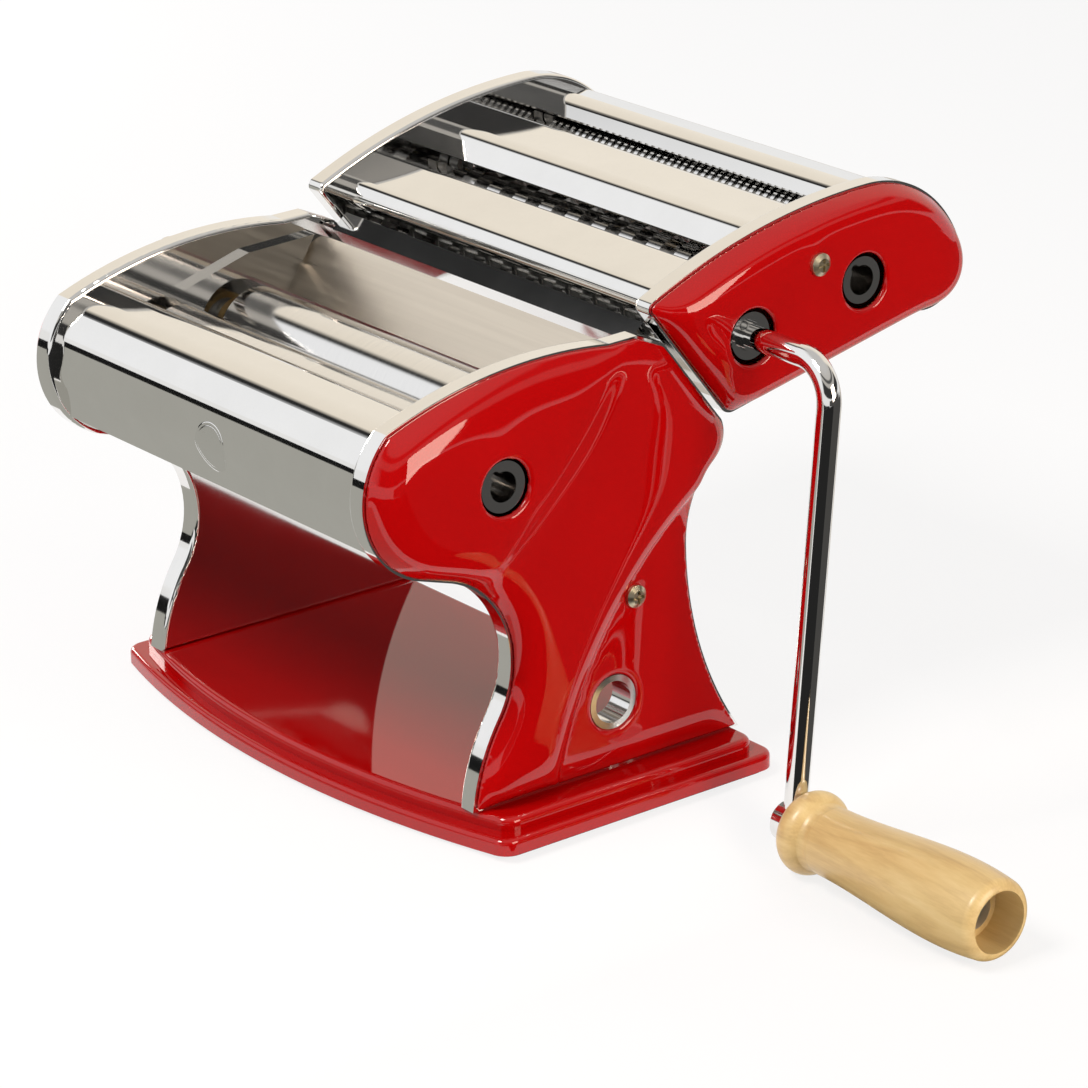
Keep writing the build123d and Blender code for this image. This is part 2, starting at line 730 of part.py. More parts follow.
with BuildPart() as cutter_right_cover:
    add(cutter_cover())
    for drive, _ in pivot_pairs:
        rod(drive, mouth_r, rim_x - 1, cutter_cover_x + 1, Mode.SUBTRACT)
    round_mouth(cutter_right_cover, mouth_r)
    rod(cutter_screw_point, screw_r, rim_x - 1, cutter_cover_x + 1, Mode.SUBTRACT)
save(cutter_right_cover, "cutter_right_cover")

with BuildPart() as cutter_left_cover:
    add(cutter_cover())
    rod(cutter_screw_point, screw_r, rim_x - 1, cutter_cover_x + 1, Mode.SUBTRACT)
    mirror(about=Plane.YZ, mode=Mode.REPLACE)
save(cutter_left_cover, "cutter_left_cover")

with BuildPart() as cutter_cover_screws:
    for side in (-1, 1):
        add(cover_screw(cutter_screw_point, side, cutter_cover_x))
save(cutter_cover_screws, "cutter_cover_screws")

with BuildPart() as cutter_tie_rods:
    for point in cutter_ties:
        rod(point, tie_r, -plate_inner, plate_inner)
        rod(point, tie_end_r, -web_outer - 0.8, web_outer + 0.8)
save(cutter_tie_rods, "cutter_tie_rods")

# Hanger: the folded lip that hooks over the rear bracket
with BuildPart() as cutter_hanger:
    with BuildSketch(Plane.YZ.offset(-hanger_half)):
        with BuildLine():
            Polyline(
                seam(bracket_low, seam_gap / 2 + sheet_t),
                seam(bracket_top + near + sheet_t, seam_gap / 2 + sheet_t),
                seam(bracket_top + near + sheet_t, -lip_back - sheet_t),
                seam(bracket_top - lip_drop, -lip_back - sheet_t),
                seam(bracket_top - lip_drop, -lip_back),
                seam(bracket_top + near, -lip_back),
                seam(bracket_top + near, seam_gap / 2),
                seam(bracket_low, seam_gap / 2),
                close=True,
            )
        make_face()
    extrude(amount=2 * hanger_half)
    sheet([seam(bracket_top - lip_drop, seam_gap / 2), seam(bracket_low, seam_gap / 2)], 0,
          -plate_inner, plate_inner)
save(cutter_hanger, "cutter_hanger")

# Guards that lead the dough into the two cutters
cutter_guards = {
    "cutter_front_guard": (4.5, [(26.5, 146.0), (22.5, 151.5), (27.0, 156.0), (46.0, 159.6), (52.0, 156.0)]),
    "cutter_middle_guard": (7.0, [(61.5, 159.0), (67.0, 167.0), (91.0, 167.2), (97.5, 162.5)]),
    "cutter_rear_guard": (8.0, [(106.0, 165.0), (112.0, 170.6), (127.0, 168.4), (136.8, 158.5),
                                (136.5, 146.5), (130.0, 138.5)]),
}
for name, (bend, points) in cutter_guards.items():
    with BuildPart() as guard:
        sheet(points[::-1], bend, -plate_inner, plate_inner)
    save(guard, name)


def rib_centres(pitch, width, shift):
    """Where ribs stand along a cutter roller."""
    count = int(roller_half / pitch) + 1
    places = [(index + shift) * pitch for index in range(-count, count + 1)]
    return [place for place in places if abs(place) + width / 2 <= roller_half]


def cutter_roller(center, pitch, play, shift, driven):
    """A ribbed cutter roller; a driven one carries a crank socket."""
    rib = pitch / 2 - play
    ribs = []
    for place in rib_centres(pitch, rib, shift):
        start, end = place - rib / 2, place + rib / 2
        ribs += [(start, groove_r), (start, rib_r), (end, rib_r), (end, groove_r)]
    neck_end = web_outer + 2.0
    if driven:
        drive_end = [(plate_inner - near, groove_r), (plate_inner - near, cutter_stub_r),
                     (cutter_socket_end, cutter_stub_r), (cutter_socket_end, 0)]
    else:
        drive_end = [(roller_half, groove_r), (roller_half, cutter_neck_r),
                     (neck_end, cutter_neck_r), (neck_end, 0)]
    with BuildPart() as roller:
        turned(center, [(-neck_end, 0), (-neck_end, cutter_neck_r), (-roller_half, cutter_neck_r),
                        (-roller_half, groove_r), *ribs, *drive_end])
        if driven:
            crank_socket(center, cutter_socket_end)
    return roller


def comb(drive, follow, pitch, play):
    """Two combs below a pair of cutter rollers, with a finger in every groove."""
    finger = pitch / 2 - 3 * play
    inner = groove_r + 0.5
    outer = groove_r + 2.3
    bar_top = -rib_r - 3.0
    bar_low = bar_top - 3.0
    tip = 1.0
    with BuildPart() as pair:
        for axis, sign, shift in [(drive, -1, 0.5), (follow, 1, 0.0)]:
            with BuildSketch(Plane.YZ.offset(-plate_inner)):
                with BuildLine():
                    Polyline(step(axis, sign * inner, bar_top), step(axis, sign * (outer + 1), bar_top),
                             step(axis, sign * (outer + 1), bar_low), step(axis, sign * inner, bar_low),
                             close=True)
                make_face()
            extrude(amount=2 * plate_inner)
            for place in rib_centres(pitch, finger, shift):
                with BuildSketch(Plane.YZ.offset(place - finger / 2)):
                    with BuildLine():
                        Polyline(step(axis, sign * inner, bar_top), step(axis, sign * inner, tip),
                                 step(axis, sign * outer, bar_top), close=True)
                    make_face()
            extrude(amount=finger)
    return pair


# Wide and narrow cutter rollers, their gears and combs
cutter_socket_end = cutter_cover_x - 2.0
cutter_module = cutter_spacing / gear_teeth
for kind, pair, pitch, play in [("wide", pivot_pairs[0], wide_pitch, 0.2),
                                ("narrow", pivot_pairs[1], narrow_pitch, 0.1)]:
    drive, follow = pair
    save(cutter_roller(drive, pitch, play, 0.0, True), f"{kind}_drive_roller")
    save(cutter_roller(follow, pitch, play, 0.5, False), f"{kind}_follow_roller")
    for name, axis, turn in [("drive", drive, 0.0), ("follow", follow, half_pitch)]:
        gear = gear_on(axis, cutter_module, cutter_neck_r, -gear_end, -gear_start, incline + turn)
        save(gear, f"{kind}_{name}_gear")
    save(comb(drive, follow, pitch, play), f"{kind}_combs")

# Crank: a bent rod with a keyed plug at one end and an eye for the grip's spindle at the other
tilt = radians(arm_tilt)
grip_axis = (wide_axis[0] - arm_length * sin(tilt), wide_axis[1] - arm_length * cos(tilt))
crank_plane = Plane((0, *wide_axis), x_dir=(1, 0, 0), z_dir=(0, -cos(tilt), sin(tilt)))
bend_r = 13.0
eye_r = 6.5
eye_half = 4.0
spindle_r = 3.0
plug_start = cutter_socket_end - socket_depth + 1.0
with BuildPart() as crank_rod:
    with BuildLine(crank_plane):
        FilletPolyline((cutter_socket_end, 0), (arm_x, 0), (arm_x, -arm_length), radius=bend_r)
    with BuildSketch(Plane.YZ.offset(cutter_socket_end)):
        with Locations(wide_axis):
            Circle(rod_r)
    sweep()
    rod(wide_axis, socket_r - running, plug_start, cutter_socket_end + 2.0)
    rod(polar(wide_axis, socket_r, key_angle), key_r - near, cutter_socket_end - key_depth + near,
        cutter_socket_end)
    rod(grip_axis, eye_r, arm_x - eye_half, arm_x + eye_half)
    rod(grip_axis, spindle_r, arm_x - eye_half - 1, arm_x + eye_half + 1, Mode.SUBTRACT)
save(crank_rod, "crank_rod")

# Grip: a turned wooden handle that spins on a riveted spindle
grip_start = arm_x + eye_half + near
grip_end = grip_start + grip_length
recess_r = 9.8
recess_depth = 12.0
grip_plane = Plane((grip_start, *grip_axis), x_dir=(1, 0, 0), z_dir=(0, -1, 0))
with BuildPart() as handle_grip:
    with BuildSketch(grip_plane):
        with BuildLine():
            Line((0, spindle_r + running), (0, 11.0))
            ThreePointArc((0, 11.0), (4.0, 13.3), (9.0, 11.0))
            ThreePointArc((9.0, 11.0), (10.8, 10.4), (13.0, 10.8))
            Spline((13.0, 10.8), (45.0, 12.9), (76.0, 13.7), (grip_length - 3.5, 13.0))
            lip = (grip_length, recess_r + 0.6)
            ThreePointArc((grip_length - 3.5, 13.0), (grip_length - 0.8, 11.8), lip)
            Polyline(lip, (grip_length, recess_r), (grip_length - recess_depth, recess_r),
                     (grip_length - recess_depth, spindle_r + running), (0, spindle_r + running))
        make_face()
    revolve(axis=Axis((0, *grip_axis), (1, 0, 0)))
save(handle_grip, "handle_grip")

washer_x = grip_end - recess_depth + near
with BuildPart() as grip_spindle:
    rod(grip_axis, spindle_r, arm_x - eye_half, washer_x + 4.0)
    rod(grip_axis, spindle_r + 2.0, arm_x - eye_half - 1.5, arm_x - eye_half)
    rod(grip_axis, spindle_r + 3.0, washer_x, washer_x + 1.5)
save(grip_spindle, "grip_spindle")
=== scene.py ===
import json
from math import cos, radians, sin

import bmesh
import bpy
from mathutils import Matrix, Vector


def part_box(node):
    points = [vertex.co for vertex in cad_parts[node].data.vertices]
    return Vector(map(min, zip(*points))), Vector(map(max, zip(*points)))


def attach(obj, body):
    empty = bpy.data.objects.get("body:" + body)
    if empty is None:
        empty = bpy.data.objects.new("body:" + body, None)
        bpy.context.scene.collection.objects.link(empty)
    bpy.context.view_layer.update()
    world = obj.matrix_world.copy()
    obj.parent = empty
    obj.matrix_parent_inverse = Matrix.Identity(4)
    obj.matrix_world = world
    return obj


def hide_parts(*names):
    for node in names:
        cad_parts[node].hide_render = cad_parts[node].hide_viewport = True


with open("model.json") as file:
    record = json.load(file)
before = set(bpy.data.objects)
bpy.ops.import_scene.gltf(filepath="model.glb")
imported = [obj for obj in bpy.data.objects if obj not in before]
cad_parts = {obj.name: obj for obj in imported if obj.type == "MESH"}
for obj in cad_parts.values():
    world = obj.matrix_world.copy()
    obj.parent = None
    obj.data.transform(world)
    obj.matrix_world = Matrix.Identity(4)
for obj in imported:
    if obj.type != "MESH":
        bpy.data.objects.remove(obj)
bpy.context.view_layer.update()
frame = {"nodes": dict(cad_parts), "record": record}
scene = bpy.context.scene
scene.view_settings.view_transform = "Standard"

# Camera. The machine is seen from the front of its crank side, a little above the
# rollers, through a long lens from about a metre and a half away.
azimuth = radians(52.05)
elevation = radians(20.90)
roll = radians(-0.83)
to_right = Vector((cos(azimuth), sin(azimuth), 0))
to_back = Vector((
    sin(azimuth) * cos(elevation), -cos(azimuth) * cos(elevation), sin(elevation),
))
to_up = to_back.cross(to_right)
view_x = to_right * cos(roll) + to_up * sin(roll)
view_y = to_up * cos(roll) - to_right * sin(roll)
lens = bpy.data.cameras.new("photo_lens")
lens.sensor_width = 36.0
lens.lens = 148.8
lens.clip_end = 40.0
camera = bpy.data.objects.new("photo_camera", lens)
place = Matrix((view_x, view_y, to_back)).transposed().to_4x4()
place.translation = Vector((1.0713, -0.7932, 0.5667))
camera.matrix_world = place
scene.collection.objects.link(camera)
scene.camera = camera


# Table. White paper on a low studio table, on which the machine stands with its crank past
# the edge; the paper falls over the edge to just under the hanging grip.
class Shade:
    """A socket in a finish's node tree; arithmetic on it adds Math nodes."""

    def __init__(self, tree, socket=None):
        self.tree = tree
        self.socket = socket

    def node(self, kind, sockets=None, output=0, **settings):
        """A new node: its settings first, then its sockets' values or links."""
        made = self.tree.nodes.new("ShaderNode" + kind)
        for name, value in settings.items():
            if name == "stops":
                ramp = made.color_ramp.elements
                for index, (position, color) in enumerate(value):
                    stop = ramp[index] if index < len(ramp) else ramp.new(position)
                    stop.position = position
                    stop.color = color
            else:
                setattr(made, name, value)
        for name, value in (sockets or {}).items():
            if isinstance(value, Shade):
                self.tree.links.new(value.socket, made.inputs[name])
            else:
                made.inputs[name].default_value = value
        return Shade(self.tree, made.outputs[output])

    def math(self, operation, first, second):
        return self.node("Math", {0: first, 1: second}, operation=operation)

    def __add__(self, other):
        return self.math("ADD", self, other)

    __radd__ = __add__

    def __sub__(self, other):
        return self.math("SUBTRACT", self, other)

    def __rsub__(self, other):
        return self.math("SUBTRACT", other, self)

    def __mul__(self, other):
        return self.math("MULTIPLY", self, other)

    __rmul__ = __mul__

    def step(self, low, high):
        """0 below one value and 1 above another, with a smooth rise between them."""
        ends = {"Value": self, "From Min": low, "From Max": high}
        return self.node("MapRange", ends, interpolation_type="SMOOTHSTEP")

    def mix(self, low, high):
        """A colour between two others, by this value."""
        return self.node("Mix", {0: self, 6: low, 7: high}, 2, data_type="RGBA")

    def feed(self, shader, name):
        """Drive one of a shader's sockets with this value."""
        self.tree.links.new(self.socket, shader.inputs[name])


def finish_of(name, fixed):
    """A material with one Principled shader, whose fixed sockets are set on it."""
    material = bpy.data.materials.new(name)
    material.use_nodes = True
    tree = material.node_tree
    shader = tree.nodes["Principled BSDF"]
    for socket, value in fixed.items():
        shader.inputs[socket].default_value = value
    return material, Shade(tree), shader


def staged(name, shape, material):
    """A finished bmesh as a piece of the studio, which isn't part of the machine."""
    mesh = bpy.data.meshes.new(name)
    shape.to_mesh(mesh)
    shape.free()
    mesh.materials.append(material)
    made = bpy.data.objects.new(name, mesh)
    scene.collection.objects.link(made)
    return made


paper, tree, shader = finish_of("white_paper", {
    "Base Color": (0.92, 0.92, 0.92, 1), "Roughness": 0.8,
})
glow_share = 0.8
rays = tree.node("LightPath").socket.node.outputs
seen = Shade(tree.tree, rays["Is Camera Ray"]) + Shade(tree.tree, rays["Is Glossy Ray"])
seen = seen + Shade(tree.tree, rays["Is Transmission Ray"])
glow = tree.node("Emission", {"Color": (1, 1, 1, 1), "Strength": 1.0})
lit = Shade(tree.tree, shader.outputs[0])
paper_white = tree.node("MixShader", {0: seen * glow_share, 1: lit, 2: glow})
paper_white.feed(tree.tree.nodes["Material Output"], "Surface")

far = 14.0
edge_start, edge_end = 0.104, 0.138
fold = 0.015
below_grip = 0.001
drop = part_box("handle_grip")[0].z - below_grip
sheet = bmesh.new()
side = [sheet.verts.new((-far, y, 0)) for y in (-far, far)]
run = [sheet.edges.new(side)]
for step_x, step_z in (
    (far + edge_start, 0), (edge_end - edge_start, drop), (far - edge_end, 0),
):
    grown = bmesh.ops.extrude_edge_only(sheet, edges=run)["geom"]
    ends = [item for item in grown if isinstance(item, bmesh.types.BMVert)]
    bmesh.ops.translate(sheet, verts=ends, vec=(step_x, 0, step_z))
    run = [item for item in grown if isinstance(item, bmesh.types.BMEdge)]
folds = [edge for edge in sheet.edges if len(edge.link_faces) == 2]
bmesh.ops.bevel(
    sheet, geom=folds, offset=fold, affect="EDGES", segments=8, profile=0.5, material=-1,
)
bmesh.ops.recalc_face_normals(sheet, faces=sheet.faces)
for face in sheet.faces:
    face.smooth = True
staged("paper", sheet, paper)


# Cards. Flat cards round the table that only the plating and the gloss see: dark towards the
# lens and on the crank side, grey in front of the roller guard, warm behind, and a low black
# strip far out in front of the knob side.
def card(name, low, high, height, color, tall=0.0):
    """A card lying flat from one corner to the other, or standing up from the line between."""
    tint = bpy.data.materials.new(name)
    tint.use_nodes = True
    nodes = Shade(tint.node_tree)
    glow = nodes.node("Emission", {"Color": color, "Strength": 1.0})
    glow.feed(tint.node_tree.nodes["Material Output"], "Surface")
    shape = bmesh.new()
    far_corner = high if tall else (low[0], high[1])
    corners = [shape.verts.new((*corner, height)) for corner in (low, far_corner)]
    edge = shape.edges.new(corners)
    grown = bmesh.ops.extrude_edge_only(shape, edges=[edge])["geom"]
    ends = [item for item in grown if isinstance(item, bmesh.types.BMVert)]
    reach = (0, 0, tall) if tall else (high[0] - low[0], 0, 0)
    bmesh.ops.translate(shape, verts=ends, vec=reach)
    made = staged(name, shape, tint)
    made.visible_camera = False
    made.visible_diffuse = False
    made.visible_shadow = False
    made.visible_transmission = False


on_table = 0.0005
on_floor = drop + on_table
past_edge = 0.139
crank_dark = (0.07, 0.068, 0.065, 1)
card("front_card", (-1.6, -1.8), (0.10, -0.075), on_table, (0.40, 0.395, 0.36, 1))
card("lens_side_card", (past_edge, -1.8), (1.8, 0.05), on_floor, (0.02, 0.02, 0.02, 1))
card("crank_side_card", (past_edge, 0.05), (1.8, 1.8), on_floor, crank_dark)
card("skirting_card", (-1.9, -0.3), (-0.3, -1.9), 0.0, (0.01, 0.01, 0.01, 1), tall=0.16)
card("crank_wall_card", (1.85, -1.2), (1.0, 1.85), 0.0, crank_dark, tall=0.30)
card("back_card", (-1.6, 0.16), (0.10, 1.8), on_table, (0.62, 0.57, 0.51, 1))

# Studio. A white wall low down all round and, over it, white, dark and warm drapes on the knob
# side and grey ones on the crank side, which the plating mirrors in bands. Softboxes stand at
# the crank side, the front and the knob side.
cool_white, ceiling_grey = (0.97, 0.98, 1.0, 1), (0.60, 0.59, 0.58, 1)
dark, pale, dim = (0.04, 0.04, 0.04, 1), (0.50, 0.48, 0.45, 1), (0.10, 0.10, 0.10, 1)
even_light = (0.34, 0.34, 0.35, 1)
world = bpy.data.worlds.new("studio")
scene.world = world
world.use_nodes = True
sky = Shade(world.node_tree)
look = sky.node("TexCoord")
crank_side = sky.node("SeparateXYZ", {0: look}, 0).step(0.05, 0.25)
back = sky.node("SeparateXYZ", {0: look}, 1)
height = sky.node("SeparateXYZ", {0: look}, 2)
knob_drapes = sky.node("ValToRGB", {0: back * 0.5 + 0.5}, stops=[
    (0.0, cool_white), (0.38, cool_white), (0.42, (0.02, 0.02, 0.02, 1)),
    (0.45, (0.03, 0.03, 0.03, 1)), (0.51, (0.90, 0.82, 0.70, 1)),
    (1.0, (0.98, 0.91, 0.80, 1)),
])
crank_drapes = sky.node("ValToRGB", {0: height}, stops=[
    (0.0, dark), (0.44, dark), (0.48, pale), (0.57, pale), (0.60, dim), (0.66, dim),
    (0.70, (0.55, 0.53, 0.50, 1)), (1.0, ceiling_grey),
])
drapes = crank_side.mix(knob_drapes, crank_drapes)
walls = height.step(0.13, 0.17).mix((0.9, 0.9, 0.9, 1), drapes)
room = height.step(0.75, 0.95).mix(walls, ceiling_grey)
diffuse = sky.node("LightPath").socket.node.outputs["Is Diffuse Ray"]
lighting = Shade(world.node_tree, diffuse).mix(room, even_light)
lighting.feed(world.node_tree.nodes["Background"], "Color")


def softbox(name, spot, aim, size, power, color):
    """A rectangular softbox that faces the machine."""
    lamp = bpy.data.lights.new(name, "AREA")
    lamp.shape = "RECTANGLE"
    lamp.size, lamp.size_y = size
    lamp.energy = power
    lamp.color = color
    holder = bpy.data.objects.new(name, lamp)
    holder.location = spot
    holder.rotation_euler = (Vector(aim) - Vector(spot)).to_track_quat("-Z", "Y").to_euler()
    scene.collection.objects.link(holder)


middle = (0.05, 0.02, 0.10)
softbox("crank_side_softbox", (1.36, 0.28, 0.50), middle, (0.7, 0.65), 11.5, (1.0, 0.84, 0.70))
softbox("front_softbox", (0.10, -0.85, 1.20), middle, (0.45, 0.45), 14, (1.0, 0.96, 0.92))
softbox("knob_side_softbox", (-1.35, 0.05, 0.36), middle, (0.4, 0.4), 8, (1.0, 0.95, 0.90))

# Foot pad. A black rubber mat under the base, moulded with a fine grain and glued on, which
# keeps the machine from sliding.
rubber, tree, shader = finish_of("foot_rubber", {"Roughness": 0.8})
grain = tree.node("TexNoise", {"Vector": tree.node("TexCoord", output=3), "Scale": 900.0})
grain.mix((0.012, 0.012, 0.012, 1), (0.035, 0.034, 0.033, 1)).feed(shader, "Base Color")
tree.node("Bump", {"Height": grain, "Strength": 0.3, "Distance": 0.0005}).feed(shader, "Normal")


def dress(finish, *nodes):
    """Give CAD nodes a finish, in their own material slots."""
    for name in nodes:
        for held in frame["nodes"][name].material_slots:
            held.material = finish


dress(rubber, "base_pad")

# Base. A pressed steel tray in deep red stoved enamel, glossy enough to mirror what
# stands on it, with a slight orange peel in the paint.
enamel, tree, shader = finish_of("red_enamel", {
    "Roughness": 0.3, "Specular IOR Level": 0.0,
    "Coat Weight": 1.0, "Coat Roughness": 0.03, "Coat IOR": 1.55,
})
place_on = tree.node("TexCoord", output=3)
cloud = tree.node("TexNoise", {"Vector": place_on, "Scale": 30.0, "Detail": 3.0})
cloud.mix((0.36, 0.0008, 0.0012, 1), (0.41, 0.0012, 0.0016, 1)).feed(shader, "Base Color")
peel = tree.node("TexNoise", {"Vector": place_on, "Scale": 260.0, "Detail": 1.0})
tree.node("Bump", {"Height": peel, "Strength": 0.010, "Distance": 0.001}).feed(shader, "Normal")
dress(enamel, "base")

# Base screws and cover screws. Cross-slot steel screws, zinc plated and passivated to a
# pale straw colour.
passivate, tree, shader = finish_of("straw_passivate", {"Metallic": 1.0})
place_on = tree.node("TexCoord", output=3)
blush = tree.node("TexNoise", {"Vector": place_on, "Scale": 260.0, "Detail": 3.0})
blush.mix((0.52, 0.45, 0.30, 1), (0.72, 0.66, 0.50, 1)).feed(shader, "Base Color")
(blush * 0.25 + 0.18).feed(shader, "Roughness")
dress(passivate, "base_screws", "main_cover_screws", "cutter_cover_screws", "knob_screw")

# Side plates, guards and brackets. Pressed steel sheet with bright plating: a mirror, very
# slightly wavy from the press and with faint wiping marks.
wiped, polished = (0.80, 0.79, 0.77, 1), (0.88, 0.87, 0.85, 1)
wiping = {"Scale": 60.0, "Detail": 5.0, "Roughness": 0.65}
plating, tree, shader = finish_of("bright_plating", {"Metallic": 1.0})
place_on = tree.node("TexCoord", output=3)
wipe = tree.node("TexNoise", {"Vector": place_on, **wiping})
wipe.mix(wiped, polished).feed(shader, "Base Color")
(wipe * 0.05 + 0.03).feed(shader, "Roughness")
wave = tree.node("TexNoise", {"Vector": place_on, "Scale": 14.0, "Detail": 1.0})
tree.node("Bump", {"Height": wave, "Strength": 0.02, "Distance": 0.004}).feed(shader, "Normal")
dress(plating, "left_plate", "right_plate", "feed_guides", "rear_bracket")
dress(plating, "cutter_left_plate", "cutter_right_plate", "cutter_hanger")
dress(plating, "cutter_front_guard", "cutter_middle_guard", "cutter_rear_guard")

# Roller guard. The bent sheet in front of the rollers, plated like the plates, with a plain
# round mark pressed lightly into its face.
mark_x, mark_z, mark_r = 0.0052, 0.1126, 0.0082
mark_grey = (0.45, 0.45, 0.43, 1)
guard_plating, tree, shader = finish_of("guard_plating", {"Metallic": 1.0})
place_on = tree.node("TexCoord", output=3)
wipe = tree.node("TexNoise", {"Vector": place_on, **wiping})
from_mark = tree.node("VectorMath", {0: place_on, 1: (mark_x, 0, mark_z)}, operation="SUBTRACT")
flat_mark = tree.node("VectorMath", {0: from_mark, 1: (1, 0, 1)}, operation="MULTIPLY")
radius = tree.node("VectorMath", {0: flat_mark}, 1, operation="LENGTH")
disc = 1 - radius.step(mark_r - 0.0006, mark_r)
groove_inside = radius.step(mark_r - 0.0016, mark_r - 0.0011)
groove_outside = radius.step(mark_r - 0.0009, mark_r - 0.0004)
groove = groove_inside * (1 - groove_outside)
(disc * 0.10).mix(wipe.mix(wiped, polished), mark_grey).feed(shader, "Base Color")
(wipe * 0.05 + 0.03 + disc * 0.06).feed(shader, "Roughness")
relief = disc - groove * 0.6
pressed = tree.node("Bump", {"Height": relief, "Strength": 0.5, "Distance": 0.00025})
pressed.feed(shader, "Normal")
dress(guard_plating, "front_guard")

# Feed plate. The sloping plate that leads the dough to the rollers, in the same sheet with a
# satin face, brushed across the machine. Its beige tint is a painted reflection of the warm
# studio light, not the steel's own colour.
satin, tree, shader = finish_of("satin_plating", {"Metallic": 1.0})
place_on = tree.node("TexCoord", output=3)
across = tree.node("Mapping", {"Vector": place_on, "Scale": (12, 700, 700)})
brushed = tree.node("TexNoise", {"Vector": across, "Scale": 1.0, "Detail": 3.0})
# painted reflection: the brushed steel's colour is tinted beige to stand in for the warm light
# it mirrors
brushed.mix((0.58, 0.51, 0.42, 1), (0.68, 0.61, 0.51, 1)).feed(shader, "Base Color")
(brushed * 0.12 + 0.24).feed(shader, "Roughness")
dress(satin, "feed_plate")

# Rollers. Smooth steel rollers, ground and plated, with fine rings round them from the
# grinding; the ribbed cutter rollers, the knob, its index ring and the clamp bush are turned
# and plated in the same way.
ground, tree, shader = finish_of("ground_plating", {"Metallic": 1.0})
place_on = tree.node("TexCoord", output=3)
along = tree.node("Mapping", {"Vector": place_on, "Scale": (1400, 40, 40)})
rings = tree.node("TexNoise", {"Vector": along, "Scale": 1.0, "Detail": 2.0})
rings.mix((0.76, 0.75, 0.74, 1), (0.86, 0.85, 0.83, 1)).feed(shader, "Base Color")
(rings * 0.12 + 0.05).feed(shader, "Roughness")
dress(ground, "front_roller", "rear_roller", "clamp_bush", "index_ring", "thickness_knob")
dress(ground, "wide_drive_roller", "wide_follow_roller")
dress(ground, "narrow_drive_roller", "narrow_follow_roller")

# Inner steel. Tie rods, gears, the thickness axle, scrapers and combs in plain turned or
# stamped steel, left bare.
steel, tree, shader = finish_of("bare_steel", {"Metallic": 1.0})
place_on = tree.node("TexCoord", output=3)
along = tree.node("Mapping", {"Vector": place_on, "Scale": (900, 60, 60)})
lines = tree.node("TexNoise", {"Vector": along, "Scale": 1.0, "Detail": 2.0})
lines.mix((0.48, 0.48, 0.47, 1), (0.62, 0.62, 0.61, 1)).feed(shader, "Base Color")
(lines * 0.2 + 0.22).feed(shader, "Roughness")
dress(steel, "tie_rods", "cutter_tie_rods", "front_scraper", "rear_scraper")
dress(steel, "eccentric_axle", "stop_pin", "grip_spindle", "wide_combs", "narrow_combs")
dress(steel, "front_roller_gear", "rear_roller_gear", "wide_drive_gear", "wide_follow_gear")
dress(steel, "narrow_drive_gear", "narrow_follow_gear")

# Bearings. Plain bushes turned from brass and a little tarnished, pressed into the plates
# and into the rear roller.
brass, tree, shader = finish_of("bush_brass", {"Metallic": 1.0})
place_on = tree.node("TexCoord", output=3)
tarnish = tree.node("TexNoise", {"Vector": place_on, "Scale": 200.0, "Detail": 3.0})
tarnish.mix((0.62, 0.43, 0.19, 1), (0.78, 0.58, 0.30, 1)).feed(shader, "Base Color")
(tarnish * 0.2 + 0.2).feed(shader, "Roughness")
dress(brass, "roller_bushes", "axle_bushes", "cutter_bushes", "rear_roller_bushes")

# Covers. Pressed steel shells in the base's red enamel, screwed over the plates, with
# every step drawn out into a soft curve by the press.
body_of = {
    node: body
    for body, nodes in frame["record"]["behaviour"]["bodies"].items()
    for node in nodes
}
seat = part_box("right_cover")[0].x
voxel = 0.0007
weld = 1e-6
rim_height, rim_fade = 0.0012, 0.0010
dome_fade, step_fade = 0.008, 0.004
edge_passes, step_passes = 3, 480


def share(part, whole):
    """How much of the whole the part is, from 0 to 1."""
    return max(0.0, min(1.0, part / whole))


def drawn_cover(node, mouths, dome, crease=None):
    """A cover's own shape on an even mesh, domed to its top and with its steps smoothed.

    The rim, the mouths and the crease stay crisp.
    """
    dome_start, dome_fall = dome
    dome_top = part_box(node)[1].z
    shape = bmesh.new()
    shape.from_mesh(frame["nodes"][node].data)
    bmesh.ops.remove_doubles(shape, verts=shape.verts, dist=weld)
    rough = bpy.data.meshes.new(node + "_rough")
    shape.to_mesh(rough)
    shape.free()
    made = bpy.data.objects.new(node + "_drawn", rough)
    scene.collection.objects.link(made)
    even = made.modifiers.new("even", "REMESH")
    even.mode = "VOXEL"
    even.voxel_size = voxel
    bpy.context.view_layer.update()
    remeshed = made.evaluated_get(bpy.context.evaluated_depsgraph_get())
    made.data = bpy.data.meshes.new_from_object(remeshed)
    made.modifiers.clear()
    made.data.materials.clear()
    made.data.materials.append(enamel)
    made.data.shade_smooth()
    soft = made.vertex_groups.new(name="soft")
    for vertex in made.data.vertices:
        spot = Vector((vertex.co.y, vertex.co.z))
        clear = min((spot - mouth).length - mouth_r for mouth, mouth_r in mouths)
        rise = max(0.0, (vertex.co.z - dome_start) / (dome_top - dome_start))
        lower = dome_fall * rise * rise * share(clear, dome_fade)
        foot = seat if vertex.co.x > 0 else -seat
        vertex.co.x -= (vertex.co.x - foot) * lower
        if crease:
            crease_middle, crease_r = crease
            clear = min(clear, abs((spot - crease_middle).length - crease_r))
        above_rim = share(abs(vertex.co.x) - seat - rim_height, rim_fade)
        soft.add([vertex.index], min(above_rim, share(clear, step_fade)), "REPLACE")
    edges = made.modifiers.new("edges", "SMOOTH")
    edges.factor = 0.5
    edges.iterations = edge_passes
    steps = made.modifiers.new("steps", "SMOOTH")
    steps.factor = 0.5
    steps.iterations = step_passes
    steps.vertex_group = "soft"
    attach(made, body_of[node])
    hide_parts(node)


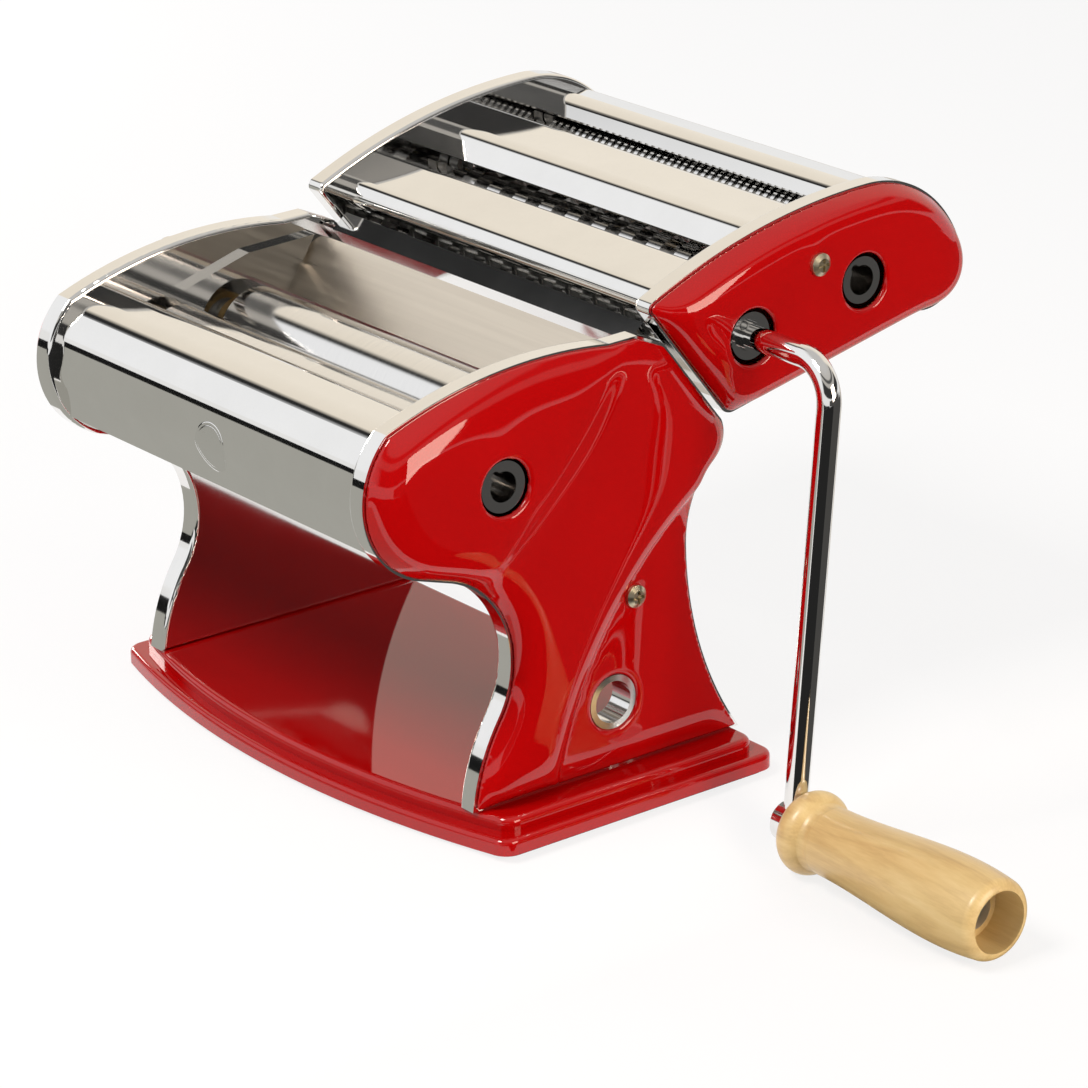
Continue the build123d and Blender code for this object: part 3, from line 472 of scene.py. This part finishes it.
def mouth_round(node, mouth_r):
    """The place and radius of a cover's mouth round a node, as seen from the side."""
    low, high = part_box(node)
    return Vector(((low.y + high.y) / 2, (low.z + high.z) / 2)), mouth_r


socket_r, ring_r, screw_r = 0.0112, 0.022, 0.0048
main_screw = mouth_round("main_cover_screws", screw_r)
cutter_screw = mouth_round("cutter_cover_screws", screw_r)
pod_dome, flat = (0.116, 0.65), (0.0, 0.0)
column_crease = (Vector((0.10892, -0.01731)), 0.13603)
drawn_cover("right_cover", [
    mouth_round("front_roller", socket_r), mouth_round("clamp_bush", socket_r), main_screw,
], pod_dome, column_crease)
drawn_cover("left_cover", [
    mouth_round("index_ring", ring_r), main_screw,
], pod_dome, column_crease)
drawn_cover("cutter_right_cover", [
    mouth_round("wide_drive_roller", socket_r), mouth_round("narrow_drive_roller", socket_r),
    cutter_screw,
], flat)
drawn_cover("cutter_left_cover", [cutter_screw], flat)

# Crank. A steel rod bent into a crank and plated like the plates, which plugs into a roller
# and ends in a flattened eye for the grip's spindle.
dress(plating, "crank_rod")

# Grip. A handle turned from beech and lacquered, with fine pores and flecks along the
# grain, which spins on the spindle in the crank's eye.
beech, tree, shader = finish_of("lacquered_beech", {"Coat Weight": 0.35, "Coat Roughness": 0.2})
place_on = tree.node("TexCoord", output=3)
along_grain = tree.node("Mapping", {"Vector": place_on, "Scale": (18, 160, 160)})
figure = tree.node("TexNoise", {
    "Vector": along_grain, "Scale": 1.0, "Detail": 5.0, "Distortion": 0.6,
})
fine = tree.node("Mapping", {"Vector": place_on, "Scale": (160, 1500, 1500)})
pores = tree.node("TexNoise", {"Vector": fine, "Scale": 1.0, "Detail": 2.0})
tone = tree.node("ValToRGB", {0: figure * 0.8 + pores * 0.2}, stops=[
    (0.25, (0.48, 0.31, 0.12, 1)), (0.5, (0.65, 0.47, 0.20, 1)), (0.75, (0.75, 0.58, 0.28, 1)),
])
tone.feed(shader, "Base Color")
(pores * 0.2 + 0.32).feed(shader, "Roughness")
tree.node("Bump", {"Height": pores, "Strength": 0.08, "Distance": 0.0005}).feed(shader, "Normal")
dress(beech, "handle_grip")
